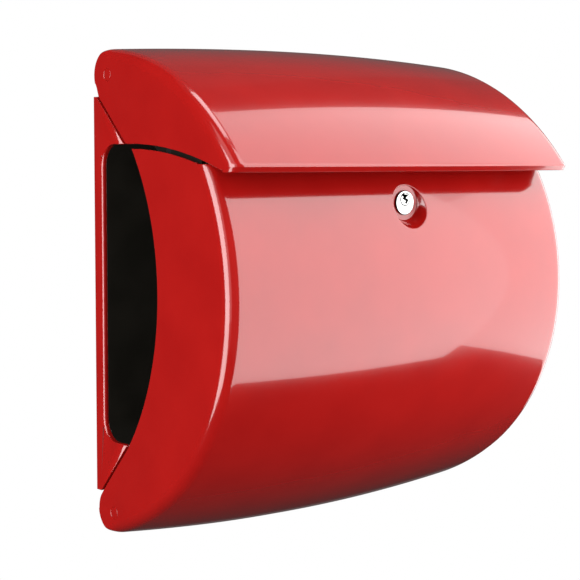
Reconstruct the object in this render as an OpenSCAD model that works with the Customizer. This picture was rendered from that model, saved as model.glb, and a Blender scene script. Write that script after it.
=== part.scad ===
// Wall-mounted letter box with a top flap, a barrel-fronted door and a newspaper opening from side to side.
// X runs across, the wall is the plane y = 0, the front looks along -Y and Z is up.
// The origin is the centre of the four wall screws on the back face.
// Outlines are drawn as [depth from the wall, height], and depth becomes -Y in the solids.

/* [Body] */
// Width over the cheeks of the lid and the door
body_w = 350; // [320:1:400]
// Wall of the lid and door mouldings
skin_t = 3; // [2.4:0.1:3.6]
// Radius of the long edges of the lid and the door
edge_r = 9; // [6:0.5:11]
// Radius that is left where a long edge runs out at a hinge
edge_min_r = 1; // [0.8:0.1:1.6]
// Space between a cheek and the side plate behind it
cheek_gap = 1; // [0.6:0.1:1.6]
// Seam between the cheeks and the sides of the rear housing
seam_gap = 2; // [1.5:0.1:2.5]

/* [Lid] */
// Lid hinge, out from the wall
lid_pin_d = 20; // [20:0.5:22]
// Lid hinge, above the wall screws' centre
lid_pin_z = 168; // [166:0.5:172]
// Radius of the lid's round end
lid_end_r = 19.5; // [19:0.1:19.7]
// Radius of the lid's top, seen from the side
lid_arc_r = 230.4; // [222:0.1:240]
// How far the lid's lip stands out from the wall at its ends
lid_reach = 185; // [180:1:190]
// Height of the top of the lip
lip_z = 97.3; // [96:0.1:99]
// Height of the lip's upright face
lip_h = 3.8; // [2:0.1:5]
// How much the lid bulges at the middle of its width
lid_crown = 7.6; // [4:0.1:8]
// Rear corner of the lid's cheek, next to the housing's seam
lid_heel_d = 7; // [6.5:0.1:8]
// Height of that corner
lid_heel_z = 151.3; // [150.5:0.1:152]
// Lower corner of the lid's cheek, out from the wall
lid_corner_d = 46; // [44:0.5:48]
// Height of that corner
lid_corner_z = 114.2; // [113:0.1:116]
// Radius of the cheek's lower edge, from that corner to the lip
cheek_edge_r = 372; // [360:1:400]

/* [Door] */
// Door hinge, out from the wall
door_pin_d = 25; // [25:0.5:27]
// How far the door hinge lies under the centre of the round end
door_pin_drop = 1.55; // [0.5:0.05:3]
// Radius of the door's front, seen from the side
door_arc_r = 186; // [180:1:192]
// How far the door's front stands out from the wall at its ends
door_reach = 179; // [176:1:182]
// Where the front runs into the flatter belly, in degrees below level
belly_angle = 53; // [50:1:56]
// Radius of the belly
belly_r = 266; // [250:1:280]
// Radius of the door's round end
door_end_r = 18; // [17:0.1:19]
// Centre of the round end, out from the wall
door_end_d = 20; // [19.5:0.1:22]
// How much the door bulges at the middle of its width
door_crown = 8.9; // [5:0.1:9.5]
// Seam between the lid's cheek and the door's cheek
edge_gap = 3.6; // [3:0.1:5]
// Where the top edge of the door's cheek ends at the front
door_top_d = 142; // [138:1:146]
// Upper rear corner of the door's cheek
crescent_top_d = 54; // [52:0.5:58]
// Lower rear corner of the door's cheek
crescent_low_d = 46; // [44:0.5:48]
// Height of that corner
crescent_low_z = -119.7; // [-122:0.1:-118]
// Depth of the hollow in the cheek's rear edge
crescent_sink = 38; // [30:1:42]

/* [Newspaper opening] */
// Back of the opening, out from the wall
tube_back_d = 12; // [11:0.5:14]
// Front of the opening, out from the wall
tube_front_d = 88; // [80:1:90]
// Top of the opening
tube_top_z = 114.2; // [112:0.1:114.2]
// Bottom of the opening
tube_low_z = -118; // [-119:0.5:-110]
// Radius of the opening's corners
tube_r = 17; // [10:1:24]
// Wall of the tube
tube_t = 2.5; // [2:0.1:3]

/* [Housing] */
// Thickness of the back plate
back_t = 4; // [3.5:0.1:5]
// Thickness of the housing's sides
side_t = 4; // [3:0.1:5]
// Top of the back plate
back_top_z = 151.4; // [150:0.1:152]
// Bottom of the back plate
back_low_z = -159.3; // [-160:0.1:-156]
// Wall screws, across
screw_w = 260; // [200:1:280]
// Wall screws, up and down
screw_h = 270; // [266:1:276]
// Radius of a wall screw's hole
screw_hole_r = 3; // [2.5:0.1:3.5]
// Radius of the raised pad round a wall screw's hole
screw_pad_r = 8; // [7:0.5:9]
// Height of that pad
screw_pad_t = 1.5; // [1:0.1:2]

/* [Side plates] */
// Thickness of a side plate
plate_t = 3; // [2.5:0.1:3.5]
// How far the plates stay inside the lid and the door
plate_inset = 12; // [11:0.5:14]
// Radius of the eye round a lid pin
lid_eye_r = 14; // [11:0.5:15]
// Radius of the eye round a door pin
door_eye_r = 8; // [7:0.5:8.5]
// Length of an eye
eye_len = 11; // [8:0.5:14]
// Fixing tabs, across
tab_w = 22; // [18:1:30]
// Fixing tabs, up and down
tab_h = 18; // [14:1:18]
// Thickness of a fixing tab
tab_t = 3; // [2.5:0.1:3.5]

/* [Hinges] */
// Radius of a hinge pin where the cheek turns on it
pin_r = 4.5; // [4:0.1:5]
// Radius of its shank in the eye
shank_r = 3.5; // [3:0.1:3.8]
// Running clearance round a pin
run_gap = 0.05; // [0.02:0.01:0.09]
// Angle round the pin at which the lid's skin ends
lid_skin_end = 200; // [190:1:205]
// Angle at which the door's skin ends
door_skin_end = 175; // [165:1:178]

/* [Inlet] */
// Height of the inlet frame's front rail
rail_h = 14; // [12:0.5:16]
// Top of the rail
rail_top_z = 96; // [94:0.5:96]
// Thickness of the rail and the deck
rail_t = 3; // [2.5:0.1:3.5]
// Space between the rail and the door at the ends
rail_gap = 3; // [2.5:0.1:5]
// Thickness of the frame's ends
frame_end_t = 5; // [4.5:0.1:6]
// How far the deck's apron hangs down in front of the tube
apron_h = 18; // [12:1:24]
// How far the lid's buffers stand behind the rail's front
buffer_back = 18.6; // [16:0.1:22]
// Radius of a lid buffer
lid_buffer_r = 2.4; // [2:0.1:2.5]
// Radius of a door buffer
door_buffer_r = 4; // [3:0.1:4.5]
// Distance between the door buffers
door_buffer_w = 260; // [200:1:280]

/* [Letter tray] */
// Wall of the tray
tray_t = 2.5; // [2:0.1:3]
// Where the tray's front lip ends, in degrees below level
tray_lip_angle = 20; // [16:1:26]
// Space between the tray and the pads of the lower wall screws
tray_gap = 0.5; // [0.4:0.1:1]

/* [Lock] */
// Height of the lock's centre
lock_z = 69; // [66:0.5:70]
// How deep the lock's seat lies under the door's front
lock_sink = 6.3; // [5.5:0.1:7]
// Radius of the seat
seat_r = 13.5; // [12:0.5:14.5]
// Slope of the hollow round the seat, from its axis
flare_angle = 26; // [20:1:30]
// Thickness of the seat's floor
seat_t = 5; // [4:0.5:6]
// Radius of the lock's face
lock_face_r = 9.5; // [9:0.1:10.5]
// Thickness of the lock's face
lock_face_t = 1.6; // [1.2:0.1:2]
// Radius of the lock's barrel
barrel_r = 8; // [7.8:0.1:8.6]
// Radius of the plug
plug_r = 4.5; // [4:0.1:4.6]
// How far the plug sits above the centre of the lock
plug_up = 2.7; // [2.2:0.1:2.8]
// Thickness of the clip behind the seat
clip_t = 1.5; // [1:0.1:2]
// Length of the cam from its axis
cam_len = 22; // [20:1:24]
// Width of the cam
cam_w = 15; // [12:0.5:15]
// Thickness of the cam
cam_t = 2; // [1.5:0.1:2.5]
// Thickness of the keeper plate
keeper_t = 1.5; // [1:0.1:2]
// Space between the keeper plate and the cam
cam_gap = 2; // [1.6:0.1:3]

/* [Screws] */
// Radius of a screw's thread
thread_r = 1.75; // [1.5:0.05:2]
// Radius of a screw's head
head_r = 3.4; // [3:0.1:3.6]
// Height of a screw's head
head_t = 1.6; // [1.2:0.1:1.8]

/* [Hidden] */
$fn = 64;
half_w = body_w / 2;
slack = 0.05;          // room round a piece that slides into its seat
seat_gap = 0.3;        // room between a buffer and what it stops

plate_x = half_w - skin_t - cheek_gap;        // outer face of a side plate
inner_x = plate_x - plate_t;                  // inner face of a side plate

lid_pin = [lid_pin_d, lid_pin_z];
lid_heel = [lid_heel_d, lid_heel_z];
lid_corner = [lid_corner_d, lid_corner_z];

// Where two circles meet, on the side that lies to the right of the way from p to q
function meet(p, rp, q, rq) =
    let (v = q - p, l = norm(v), a = (rp * rp - rq * rq + l * l) / (2 * l), h = sqrt(rp * rp - a * a))
    p + v * a / l + [v[1], -v[0]] * h / l;
function ray(a) = [cos(a), sin(a)];
function angle_of(v) = atan2(v[1], v[0]);
// Radius of a circle that is level at one point and falls by drop over run
function fall_r(run, drop) = (run * run + drop * drop) / (2 * drop);
// Depth of a circle's front at a height
function depth_at(c, r, z) = c[0] + sqrt(r * r - (z - c[1]) * (z - c[1]));
// Share of the crown that is left at angle a, which fades to none from a0 to a1
function fade(a, a0, a1) = a <= a0 ? 1 : a >= a1 ? 0 : pow(cos(90 * (a - a0) / (a1 - a0)), 2);

// The lid's top is an arc that passes through the lip and touches the round end from inside
lid_c = meet(lid_pin, lid_arc_r - lid_end_r, [lid_reach, lip_z], lid_arc_r);
lid_join = angle_of(lid_pin - lid_c);
lid_fade = [65, 125];
lid_lip_low = lip_z - lip_h;
cheek_front_d = depth_at(lid_c, lid_arc_r - edge_r, lip_z);
cheek_run = [cheek_front_d, lid_lip_low] - lid_corner;
cheek_in = sqrt(1 / (cheek_run * cheek_run) * pow(cheek_edge_r, 2) - 1 / 4);
cheek_edge_c = lid_corner + cheek_run / 2 + cheek_in * [cheek_run[1], -cheek_run[0]];
function cheek_edge_z(d, r) = cheek_edge_c[1] + sqrt(r * r - pow(d - cheek_edge_c[0], 2));

// The door is three arcs that run into each other: front, belly and round end
door_c = [door_reach - door_arc_r, 0];
belly_c = door_c + (door_arc_r - belly_r) * ray(-belly_angle);
door_end_c = [door_end_d, belly_c[1] - sqrt(pow(belly_r - door_end_r, 2) - pow(door_end_d - belly_c[0], 2))];
door_pin = door_end_c + [door_pin_d - door_end_d, -door_pin_drop];
door_join = angle_of(door_end_c - belly_c);
door_fade = [-door_join, -door_join + 50];
door_top_r = cheek_edge_r - edge_gap;
door_top_z = cheek_edge_z(door_top_d, door_top_r);
crescent_top = [crescent_top_d, cheek_edge_z(crescent_top_d, door_top_r)];
crescent_low = [crescent_low_d, crescent_low_z];

// A mounting for shells: each row is [centre, radius, angle, cut share, crown share, cut height, drop]
function crown_at(x, crown) = crown * (1 - pow(x / half_w, 2));
inner_min_r = 0.6;      // radius that is left inside a long edge where it runs out
function station(s, w, crown, t) =
    let (rf = edge_min_r + (edge_r - edge_min_r) * w, r = t == 0 ? rf : max(rf - t, inner_min_r),
         h = half_w - t,
         x = s[0] == 0 ? s[1] * (h - r) : s[0] * (h - r + r * sin(s[1])))
    [x, w * crown_at(x, crown) - t - (s[0] == 0 ? 0 : r - r * cos(s[1]))];
function shell_point(row, s, crown, t) =
    let (q = station(s, row[4], crown, t), r = row[1] + q[1],
         cut = row[3] == 0 ? 0 : asin((row[5] - row[0][1]) / r),
         a = row[2] + row[3] * (cut - row[2]), p = row[0] + r * ray(a))
    [q[0], -p[0], p[1] - row[6]];
edge_steps = 4;
mid_steps = 12;
stations = concat([for (k = [edge_steps:-1:0]) [-1, 90 * k / edge_steps]],
                  [for (k = [1:mid_steps - 1]) [0, -1 + 2 * k / mid_steps]],
                  [for (k = [0:edge_steps]) [1, 90 * k / edge_steps]]);
function flip(f) = [for (k = [len(f) - 1:-1:0]) f[k]];

// Triangles that fill a flat outline, taken off corner by corner with the fullest one first
function turn(a, b, c) = (b[0] - a[0]) * (c[1] - a[1]) - (b[1] - a[1]) * (c[0] - a[0]);
function corner(ids, k) = let (n = len(ids)) [ids[(k + n - 1) % n], ids[k], ids[(k + 1) % n]];
function holds(a, b, c, p) = turn(a, b, p) >= 0 && turn(b, c, p) >= 0 && turn(c, a, p) >= 0;
function fullness(q, ids, k) =
    let (f = corner(ids, k), a = q[f[0]], b = q[f[1]], c = q[f[2]], size = turn(a, b, c))
    size <= 0 || len([for (m = ids) if (m != f[0] && m != f[1] && m != f[2] && holds(a, b, c, q[m])) m]) > 0
    ? -1 : size / max((b - a) * (b - a), (c - b) * (c - b), (a - c) * (a - c));
function fill(q, ids) = len(ids) == 3 ? [ids] :
    let (marks = [for (k = [0:len(ids) - 1]) fullness(q, ids, k)], best = max(marks),
         k = [for (m = [0:len(ids) - 1]) if (marks[m] == best) m][0])
    concat([corner(ids, k)], fill(q, [for (m = [0:len(ids) - 1]) if (m != k) ids[m]]));

// A moulded shell: a skin that is bent over the rows, with a flat cheek at each end. The chain closes a cheek's
// outline from the last row back to the first.
module shell(rows, chain, crown) {
    nr = len(rows);
    ns = len(stations);
    nc = len(chain);
    size = nr * ns;
    points = concat([for (row = rows) for (s = stations) shell_point(row, s, crown, 0)],
                    [for (row = rows) for (s = stations) shell_point(row, s, crown, skin_t)],
                    [for (x = [-half_w, half_w, skin_t - half_w, half_w - skin_t]) for (q = chain)
                     [x, -q[0], q[1]]]);
    // Index of a point on the outer skin (layer 0) or the inner one (layer 1)
    function at(layer, i, j) = layer * size + i * ns + j;
    // Outline of a cheek: side 0 is left and 1 is right
    function outline(layer, side) = concat([for (i = [0:nr - 1]) at(layer, i, side * (ns - 1))],
                                           [for (k = [0:nc - 1]) 2 * size + (2 * layer + side) * nc + k]);
    outer = [for (i = [0:nr - 2]) for (j = [0:ns - 2])
             for (f = [[at(0, i, j), at(0, i + 1, j), at(0, i, j + 1)],
                       [at(0, i, j + 1), at(0, i + 1, j), at(0, i + 1, j + 1)]]) f];
    inner = [for (f = outer) flip([for (k = f) k + size])];
    ends = [for (i = [0, nr - 1]) for (j = [0:ns - 2])
            let (f = [at(0, i, j), at(0, i, j + 1), at(1, i, j + 1), at(1, i, j)]) i == 0 ? f : flip(f)];
    rims = [for (side = [0, 1]) let (o = outline(0, side), n = outline(1, side), m = len(o))
            for (k = [nr - 1:m - 1]) let (l = (k + 1) % m, f = [o[k], o[l], n[l], n[k]])
            side == 0 ? f : flip(f)];
    cheeks = [for (layer = [0, 1]) let (o = outline(layer, 0), q = [for (k = o) [-points[k][1], points[k][2]]],
              tris = fill(q, [for (k = [0:len(o) - 1]) k]))
              for (side = [0, 1]) let (o = outline(layer, side)) for (t = tris) let (f = [for (k = t) o[k]])
              layer == side ? flip(f) : f];
    polyhedron(points, concat(outer, inner, ends, rims, cheeks), convexity = 6);
}

lid_steps = 12;
lid_end_steps = 10;
lid_rows = concat([[lid_c, lid_arc_r, lid_join, 1, 1, lip_z, lip_h]],
                  [for (k = [0:lid_steps - 1]) let (f = 1 - k / lid_steps,
                   a = lid_join + f * (asin((lip_z - lid_c[1]) / lid_arc_r) - lid_join))
                   [lid_c, lid_arc_r, lid_join, f, fade(a, lid_fade[0], lid_fade[1]), lip_z, 0]],
                  [for (k = [0:lid_end_steps])
                   let (a = lid_join + (lid_skin_end - lid_join) * k / lid_end_steps)
                   [lid_pin, lid_end_r, a, 0, fade(a, lid_fade[0], lid_fade[1]), 0, 0]]);
cheek_foot = 12;        // turn from the end of the lid's skin to the foot of its cheek
lid_chain = concat([lid_pin + (lid_end_r - edge_min_r) * ray(lid_skin_end + cheek_foot), lid_heel, lid_corner],
                   [for (k = [1:7]) let (d = lid_corner_d + (cheek_front_d - lid_corner_d) * k / 8)
                    [d, cheek_edge_z(d, cheek_edge_r)]]);

door_steps = 14;
belly_steps = 4;
door_end_steps = 9;
door_rows = concat([for (k = [0:door_steps - 1])
                    [door_c, door_arc_r, -belly_angle, 1 - k / door_steps, 1, door_top_z, 0]],
                   [for (k = [0:belly_steps - 1])
                    let (a = -belly_angle + (door_join + belly_angle) * k / belly_steps)
                    [belly_c, belly_r, a, 0, 1, 0, 0]],
                   [for (k = [0:door_end_steps])
                    let (a = door_join + (-door_skin_end - door_join) * k / door_end_steps)
                    [door_end_c, door_end_r, a, 0, fade(-a, door_fade[0], door_fade[1]), 0, 0]]);
door_heel_r = door_end_r - edge_min_r;
door_heel = angle_of(crescent_low - door_end_c) + acos(door_heel_r / norm(crescent_low - door_end_c)) - 360;
// The cheek's rear edge is a hollow arc between its two rear corners
crescent_run = norm(crescent_top - crescent_low) / 2;
crescent_r = fall_r(crescent_run, crescent_sink);
crescent_mid = (crescent_top + crescent_low) / 2;
crescent_dir = (crescent_top - crescent_low) / (2 * crescent_run);
crescent_out = [crescent_dir[1], -crescent_dir[0]];
crescent_c = crescent_mid + crescent_out * (crescent_sink - crescent_r);
crescent_half = asin(crescent_run / crescent_r);
crescent_a = angle_of(crescent_out) - crescent_half;
door_chain = concat([for (k = [1:4])
                     door_end_c + door_heel_r * ray(-door_skin_end + (door_heel + door_skin_end) * k / 4)],
                    [for (k = [0:16]) crescent_c + crescent_r * ray(crescent_a + crescent_half * k / 8)],
                    [for (k = [1:6]) let (d = crescent_top_d + (door_top_d - crescent_top_d) * k / 7)
                     [d, cheek_edge_z(d, door_top_r)]]);

// Places for the inner pieces, worked out from the lid and the door
tube_out_top = tube_top_z + tube_t;
tube_out_low = tube_low_z - tube_t;
tube_out_front = tube_front_d + tube_t;
rail_x = inner_x - slack;
rail_front_d = depth_at(door_c, door_arc_r - skin_t + crown_at(rail_x, door_crown), rail_top_z) - rail_gap;
rail_back_d = rail_front_d - rail_t;
rail_low_z = rail_top_z - rail_h;
frame_clear_x = rail_x - frame_end_t;
cam_front_d = rail_back_d - keeper_t - cam_gap;
cam_back_d = cam_front_d - cam_t;
barrel_gap = 1;         // space between the barrel's end and the cam
barrel_end_d = cam_front_d + barrel_gap;
front_mid_r = door_arc_r + door_crown;
lock_slope = asin(lock_z / front_mid_r);
lock_skin_d = depth_at(door_c, front_mid_r, lock_z);
seat_d = lock_skin_d - lock_sink;
plug_z = lock_z + plug_up;
tail_w = 5.5;           // square tail of the plug, which carries the cam
flare_len = 16;         // the hollow's cone runs out in front of the door
boss_rim = 10;          // breadth of the boss round the seat
boss_r = seat_r + boss_rim;
boss_sink = 2.2;        // the boss ends in the skin, this far under the front
pilot_r = thread_r - 0.25;
through_r = thread_r + 0.1;
shank_slack = 0.02;     // room round a screw in its pilot hole

// Draws its children, outlines of [depth, height], from x0 to x1
module across(x0, x1)
    translate([x0, 0, 0]) rotate([90, 0, 90]) linear_extrude(x1 - x0) mirror([1, 0]) children();
module rod_x(r, x0, x1, p) translate([x0, -p[0], p[1]]) rotate([0, 90, 0]) cylinder(r = r, h = x1 - x0);
module rod_y(r, d0, d1, x, z) translate([x, -d0, z]) rotate([90, 0, 0]) cylinder(r = r, h = d1 - d0);
module on_side(side) mirror([side < 0 ? 1 : 0, 0, 0]) children();
module round_window(d0, d1, z0, z1, r) {
    translate([d0 + r, z0]) square([d1 - d0 - 2 * r, z1 - z0]);
    translate([d0, z0 + r]) square([d1 - d0, z1 - z0 - 2 * r]);
    for (d = [d0 + r, d1 - r]) for (z = [z0 + r, z1 - r]) translate([d, z]) circle(r);
}
module tube_hole(grow)
    round_window(tube_back_d - grow, tube_front_d + grow, tube_low_z - grow, tube_top_z + grow, tube_r + grow);

// The housing's seams run beside the lid's heel and the door's heel
lid_seam_dir = (lid_corner - lid_heel) / norm(lid_corner - lid_heel);
lid_seam = lid_heel + seam_gap * [lid_seam_dir[1], -lid_seam_dir[0]];
door_heel_p = door_end_c + door_heel_r * ray(door_heel);
door_seam_dir = (crescent_low - door_heel_p) / norm(crescent_low - door_heel_p);
door_seam = door_heel_p + seam_gap * [-door_seam_dir[1], door_seam_dir[0]];
function on_seam(p, dir, z) = p[0] + dir[0] * (z - p[1]) / dir[1];
arm_tip_t = 1.2;        // what is left of a side over and under the opening, where it tapers out
arm_top_z = tube_top_z + arm_tip_t;
arm_low_z = tube_low_z - arm_tip_t;
arm_top_d = on_seam(lid_seam, lid_seam_dir, arm_top_z);
arm_low_d = on_seam(door_seam, door_seam_dir, arm_low_z);

module housing_side() difference() {
    polygon([[0, back_top_z], [on_seam(lid_seam, lid_seam_dir, back_top_z), back_top_z], [arm_top_d, arm_top_z],
             [arm_top_d, 0], [arm_low_d, 0], [arm_low_d, arm_low_z],
             [on_seam(door_seam, door_seam_dir, back_low_z), back_low_z], [0, back_low_z]]);
    tube_hole(0);
}

// Places of the fixing screws
tab_gap = 2;            // space between a tab and the tube
tab_z = [tube_out_top + tab_gap + tab_h / 2, tube_out_low - tab_gap - tab_h / 2];
tab_x = inner_x - tab_w / 2;
pilot_floor = 0.8;      // wall that is left under a pilot hole
module wall_screws()
    for (x = [-1, 1]) for (z = [-1, 1]) translate([x * screw_w / 2, 0, z * screw_h / 2]) children();

module rear_housing() color("firebrick") difference() {
    union() {
        translate([-half_w, -back_t, back_low_z]) cube([body_w, back_t, back_top_z - back_low_z]);
        for (side = [-1, 1]) on_side(side) across(half_w - side_t, half_w) housing_side();
        wall_screws() rod_y(screw_pad_r, back_t, back_t + screw_pad_t, 0, 0);
    }
    wall_screws() rod_y(screw_hole_r, -1, back_t + screw_pad_t + 1, 0, 0);
    for (side = [-1, 1]) for (z = tab_z) rod_y(pilot_r, pilot_floor, back_t + 1, side * tab_x, z);
}

// Screws that hold the frame and the tray between the side plates
frame_fix = [[tube_out_front + 8, rail_top_z + 12], [rail_back_d - 9, rail_top_z - 5]];
tray_fix_a = [-tray_lip_angle - 8, -belly_angle + 4];
tray_out_r = door_arc_r - plate_inset;
tray_fix = [for (a = tray_fix_a) door_c + (tray_out_r - frame_end_t) * ray(a)];
fixings = concat(frame_fix, tray_fix);
head_gap = 0.1;         // room over and round a sunk screw head
lid_neck_d = lid_pin_d - 4;
lid_neck_z = lid_pin_z - lid_end_r - 1;
door_neck_d = door_pin_d - 6;
door_neck_z = door_pin[1] + 23.5;
plate_top_drop = 8;     // how far the plates' front corner lies under the door's top

module plate_outline() {
    plate_door_r = door_arc_r - plate_inset;
    plate_belly_r = belly_r - plate_inset;
    plate_lid_r = lid_arc_r - plate_inset;
    plate_top_z = door_top_z - plate_top_drop;
    front_d = depth_at(door_c, plate_door_r, plate_top_z);
    front_a = acos((front_d - lid_c[0]) / plate_lid_r);
    low_a = door_join + 4;
    high_a = asin(plate_top_z / plate_door_r);
    rear_a = lid_join - 5;
    polygon(concat([[back_t, door_neck_z], [door_neck_d, door_neck_z], [door_neck_d, door_pin[1]], door_pin],
                   [for (k = [0:4]) belly_c + plate_belly_r * ray(low_a - (belly_angle + low_a) * k / 4)],
                   [for (k = [1:12])
                    door_c + plate_door_r * ray(-belly_angle + (high_a + belly_angle) * k / 12)],
                   [for (k = [0:8]) lid_c + plate_lid_r * ray(front_a + (rear_a - front_a) * k / 8)],
                   [lid_pin, [lid_neck_d, lid_pin_z], [lid_neck_d, lid_neck_z], [back_t, lid_neck_z]]));
    translate(lid_pin) circle(lid_eye_r);
    translate(door_pin) circle(door_eye_r);
}

module side_plate(side) color("dimgray") on_side(side) difference() {
    union() {
        across(inner_x, plate_x) difference() {
            plate_outline();
            tube_hole(tube_t + slack);
        }
        rod_x(lid_eye_r, plate_x - eye_len, inner_x + 1, lid_pin);
        rod_x(door_eye_r, plate_x - eye_len, inner_x + 1, door_pin);
        for (z = tab_z)
            translate([inner_x - tab_w, -back_t - tab_t, z - tab_h / 2]) cube([tab_w + 1, tab_t, tab_h]);
    }
    for (p = [lid_pin, door_pin]) rod_x(shank_r + slack, 0, half_w, p);
    for (z = tab_z) rod_y(through_r, back_t - 1, back_t + tab_t + 1, tab_x, z);
    for (p = fixings) {
        rod_x(through_r, inner_x - 1, plate_x + 1, p);
        rod_x(head_r + head_gap, plate_x - head_t - head_gap, plate_x + 1, p);
    }
}

module newspaper_tube() color("dimgray") across(-plate_x, plate_x) difference() {
    tube_hole(tube_t);
    tube_hole(0);
}

// The frame's ends slope from the apron to the rail, and a post on each carries one of the lid's buffers
end_slope = 18;
post_half = 4;
post_front_h = 18;
post_rear_h = 24;
buffer_d = rail_front_d - buffer_back;
// The lid's inner face above the buffers
buffer_x = rail_x - frame_end_t / 2;
lid_inner_r = lid_arc_r - skin_t + crown_at(buffer_x, lid_crown);
buffer_tip_r = lid_inner_r - lid_buffer_r - seat_gap;
buffer_tip_z = lid_c[1] + sqrt(pow(buffer_tip_r, 2) - pow(buffer_d - lid_c[0], 2));
buffer_h = 5;
buffer_seat_z = buffer_tip_z - buffer_h;
buffer_peg = 4;
buffer_peg_r = 1.2;
door_peg_r = 2;
deck_lip_h = 5;
tab_slot_gap = 0.5;     // room for a plate's tab under the deck
module inlet_end() {
    polygon([[tube_out_front, tube_out_top], [tube_out_front, tube_out_top - apron_h],
             [rail_back_d - end_slope, rail_low_z], [rail_front_d, rail_low_z], [rail_front_d, rail_top_z],
             [buffer_d + post_half, rail_top_z + post_front_h], [buffer_d + post_half, buffer_seat_z],
             [buffer_d - post_half, buffer_seat_z], [buffer_d - post_half, rail_top_z + post_rear_h],
             [tube_out_front + rail_t + 2, tube_out_top + rail_t]]);
}

module inlet_frame() color("dimgray") difference() {
    union() {
        across(-rail_x, rail_x) {
            translate([rail_back_d, rail_low_z]) square([rail_t, rail_h]);
            translate([back_t, tube_out_top]) square([tube_out_front + rail_t - back_t, rail_t]);
            translate([tube_out_front, tube_out_top - apron_h]) square([rail_t, apron_h + 1]);
        }
        across(-inner_x + tab_w + 1, inner_x - tab_w - 1)
            translate([back_t, tube_out_top]) square([rail_t, rail_t + deck_lip_h]);
        for (side = [-1, 1]) on_side(side) across(frame_clear_x, rail_x) inlet_end();
    }
    for (side = [-1, 1]) on_side(side) {
        for (p = frame_fix) rod_x(pilot_r, frame_clear_x + pilot_floor, rail_x + 1, p);
        translate([buffer_x, -buffer_d, buffer_seat_z - buffer_peg])
            cylinder(r = buffer_peg_r, h = buffer_peg + 1);
        translate([inner_x - tab_w - 1, -back_t - tab_t - tab_slot_gap, tube_out_top + tab_gap - tab_slot_gap])
            cube([tab_w + 4, tab_t + tab_slot_gap + 1, tab_h]);
        rod_y(door_peg_r, rail_back_d - 1, rail_front_d + 1, door_buffer_w / 2, door_buffer_z);
    }
    for (x = [-1, 1]) rod_y(pilot_r, rail_back_d - 1, rail_front_d - keeper_floor, x * keeper_hole_x, keeper_z);
}

// The tray lies inside the door's curve and turns level over the door hinge
tray_rear_a = -belly_angle + 1;
tray_bend = door_c + tray_out_r * ray(tray_rear_a);
tray_slope = 30;
tray_rear_z = -screw_h / 2 - screw_pad_r - tray_gap - tray_t;
function tray_ray(k) = ray(-tray_lip_angle + (tray_rear_a + tray_lip_angle) * k / 10);
module tray_profile() {
    polygon(concat([for (k = [0:10]) door_c + tray_out_r * tray_ray(k)],
                   [[tray_bend[0] - tray_slope, tray_rear_z], [back_t, tray_rear_z],
                    [back_t, tray_rear_z + tray_t], [tray_bend[0] - tray_slope + 1, tray_rear_z + tray_t]],
                   [for (k = [10:-1:0]) door_c + (tray_out_r - tray_t) * tray_ray(k)]));
}
module letter_tray() color("dimgray") difference() {
    union() {
        across(-rail_x, rail_x) tray_profile();
        for (side = [-1, 1]) on_side(side) for (p = tray_fix) rod_x(frame_end_t, frame_clear_x, rail_x, p);
    }
    for (side = [-1, 1]) on_side(side)
        for (p = tray_fix) rod_x(pilot_r, frame_clear_x + pilot_floor, rail_x + 1, p);
}

module lid() color("red") difference() {
    shell(lid_rows, lid_chain, lid_crown);
    for (side = [-1, 1]) on_side(side) rod_x(pin_r + run_gap, half_w - skin_t - 1, half_w + 1, lid_pin);
}

module door() color("red") difference() {
    union() {
        shell(flip(door_rows), flip(door_chain), door_crown);
        intersection() {
            rod_y(boss_r, seat_d - seat_t, lock_skin_d + 10, 0, lock_z);
            translate([0, -lock_skin_d, lock_z]) rotate([-lock_slope, 0, 0])
                translate([-2 * boss_r, boss_sink, -2 * boss_r]) cube(4 * boss_r);
        }
        rod_y(seat_r, seat_d - seat_t, seat_d, 0, lock_z);
    }
    translate([0, -seat_d, lock_z]) rotate([90, 0, 0])
        cylinder(r1 = seat_r, r2 = seat_r + flare_len * tan(flare_angle), h = flare_len);
    rod_y(barrel_r + slack, seat_d - seat_t - 1, seat_d + 1, 0, lock_z);
    for (side = [-1, 1]) on_side(side) rod_x(pin_r + run_gap, half_w - skin_t - 1, half_w + 1, door_pin);
}

pin_sink = 0.2;         // a pin's head ends this far under the cheek's face
module hinge_pin(side, p) color("red") on_side(side) {
    rod_x(pin_r, plate_x, half_w - pin_sink, p);
    rod_x(shank_r, plate_x - eye_len, plate_x + 1, p);
}

// Grooves on the sides of the barrel take the clip
groove_deep = 1.6;
groove_x = barrel_r - groove_deep;
clip_front_d = seat_d - seat_t;
clip_half = 13;
clip_leg = 11;
module lock_body() color("silver") difference() {
    union() {
        rod_y(lock_face_r, seat_d, seat_d + lock_face_t, 0, lock_z);
        rod_y(barrel_r, barrel_end_d, seat_d + 0.5, 0, lock_z);
    }
    rod_y(plug_r + run_gap, barrel_end_d - 1, seat_d + lock_face_t + 1, 0, plug_z);
    for (side = [-1, 1]) on_side(side)
        translate([groove_x, -clip_front_d - slack, lock_z - barrel_r])
            cube([barrel_r, clip_t + 2 * slack, 2 * barrel_r]);
}

// The clip is a square fork that is pushed down over the grooves
module lock_clip() color("lightgray")
    translate([0, -clip_front_d + clip_t, lock_z]) rotate([90, 0, 0]) linear_extrude(clip_t) difference() {
        translate([-clip_half, -clip_leg]) square([2 * clip_half, clip_leg + clip_half]);
        translate([-groove_x - slack, -clip_leg - 1]) square([2 * (groove_x + slack), clip_leg + 1]);
        circle(groove_x + slack);
        intersection() {
            circle(barrel_r + slack);
            translate([-groove_x - slack, 0]) square([2 * (groove_x + slack), barrel_r + 1]);
        }
    }

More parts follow.
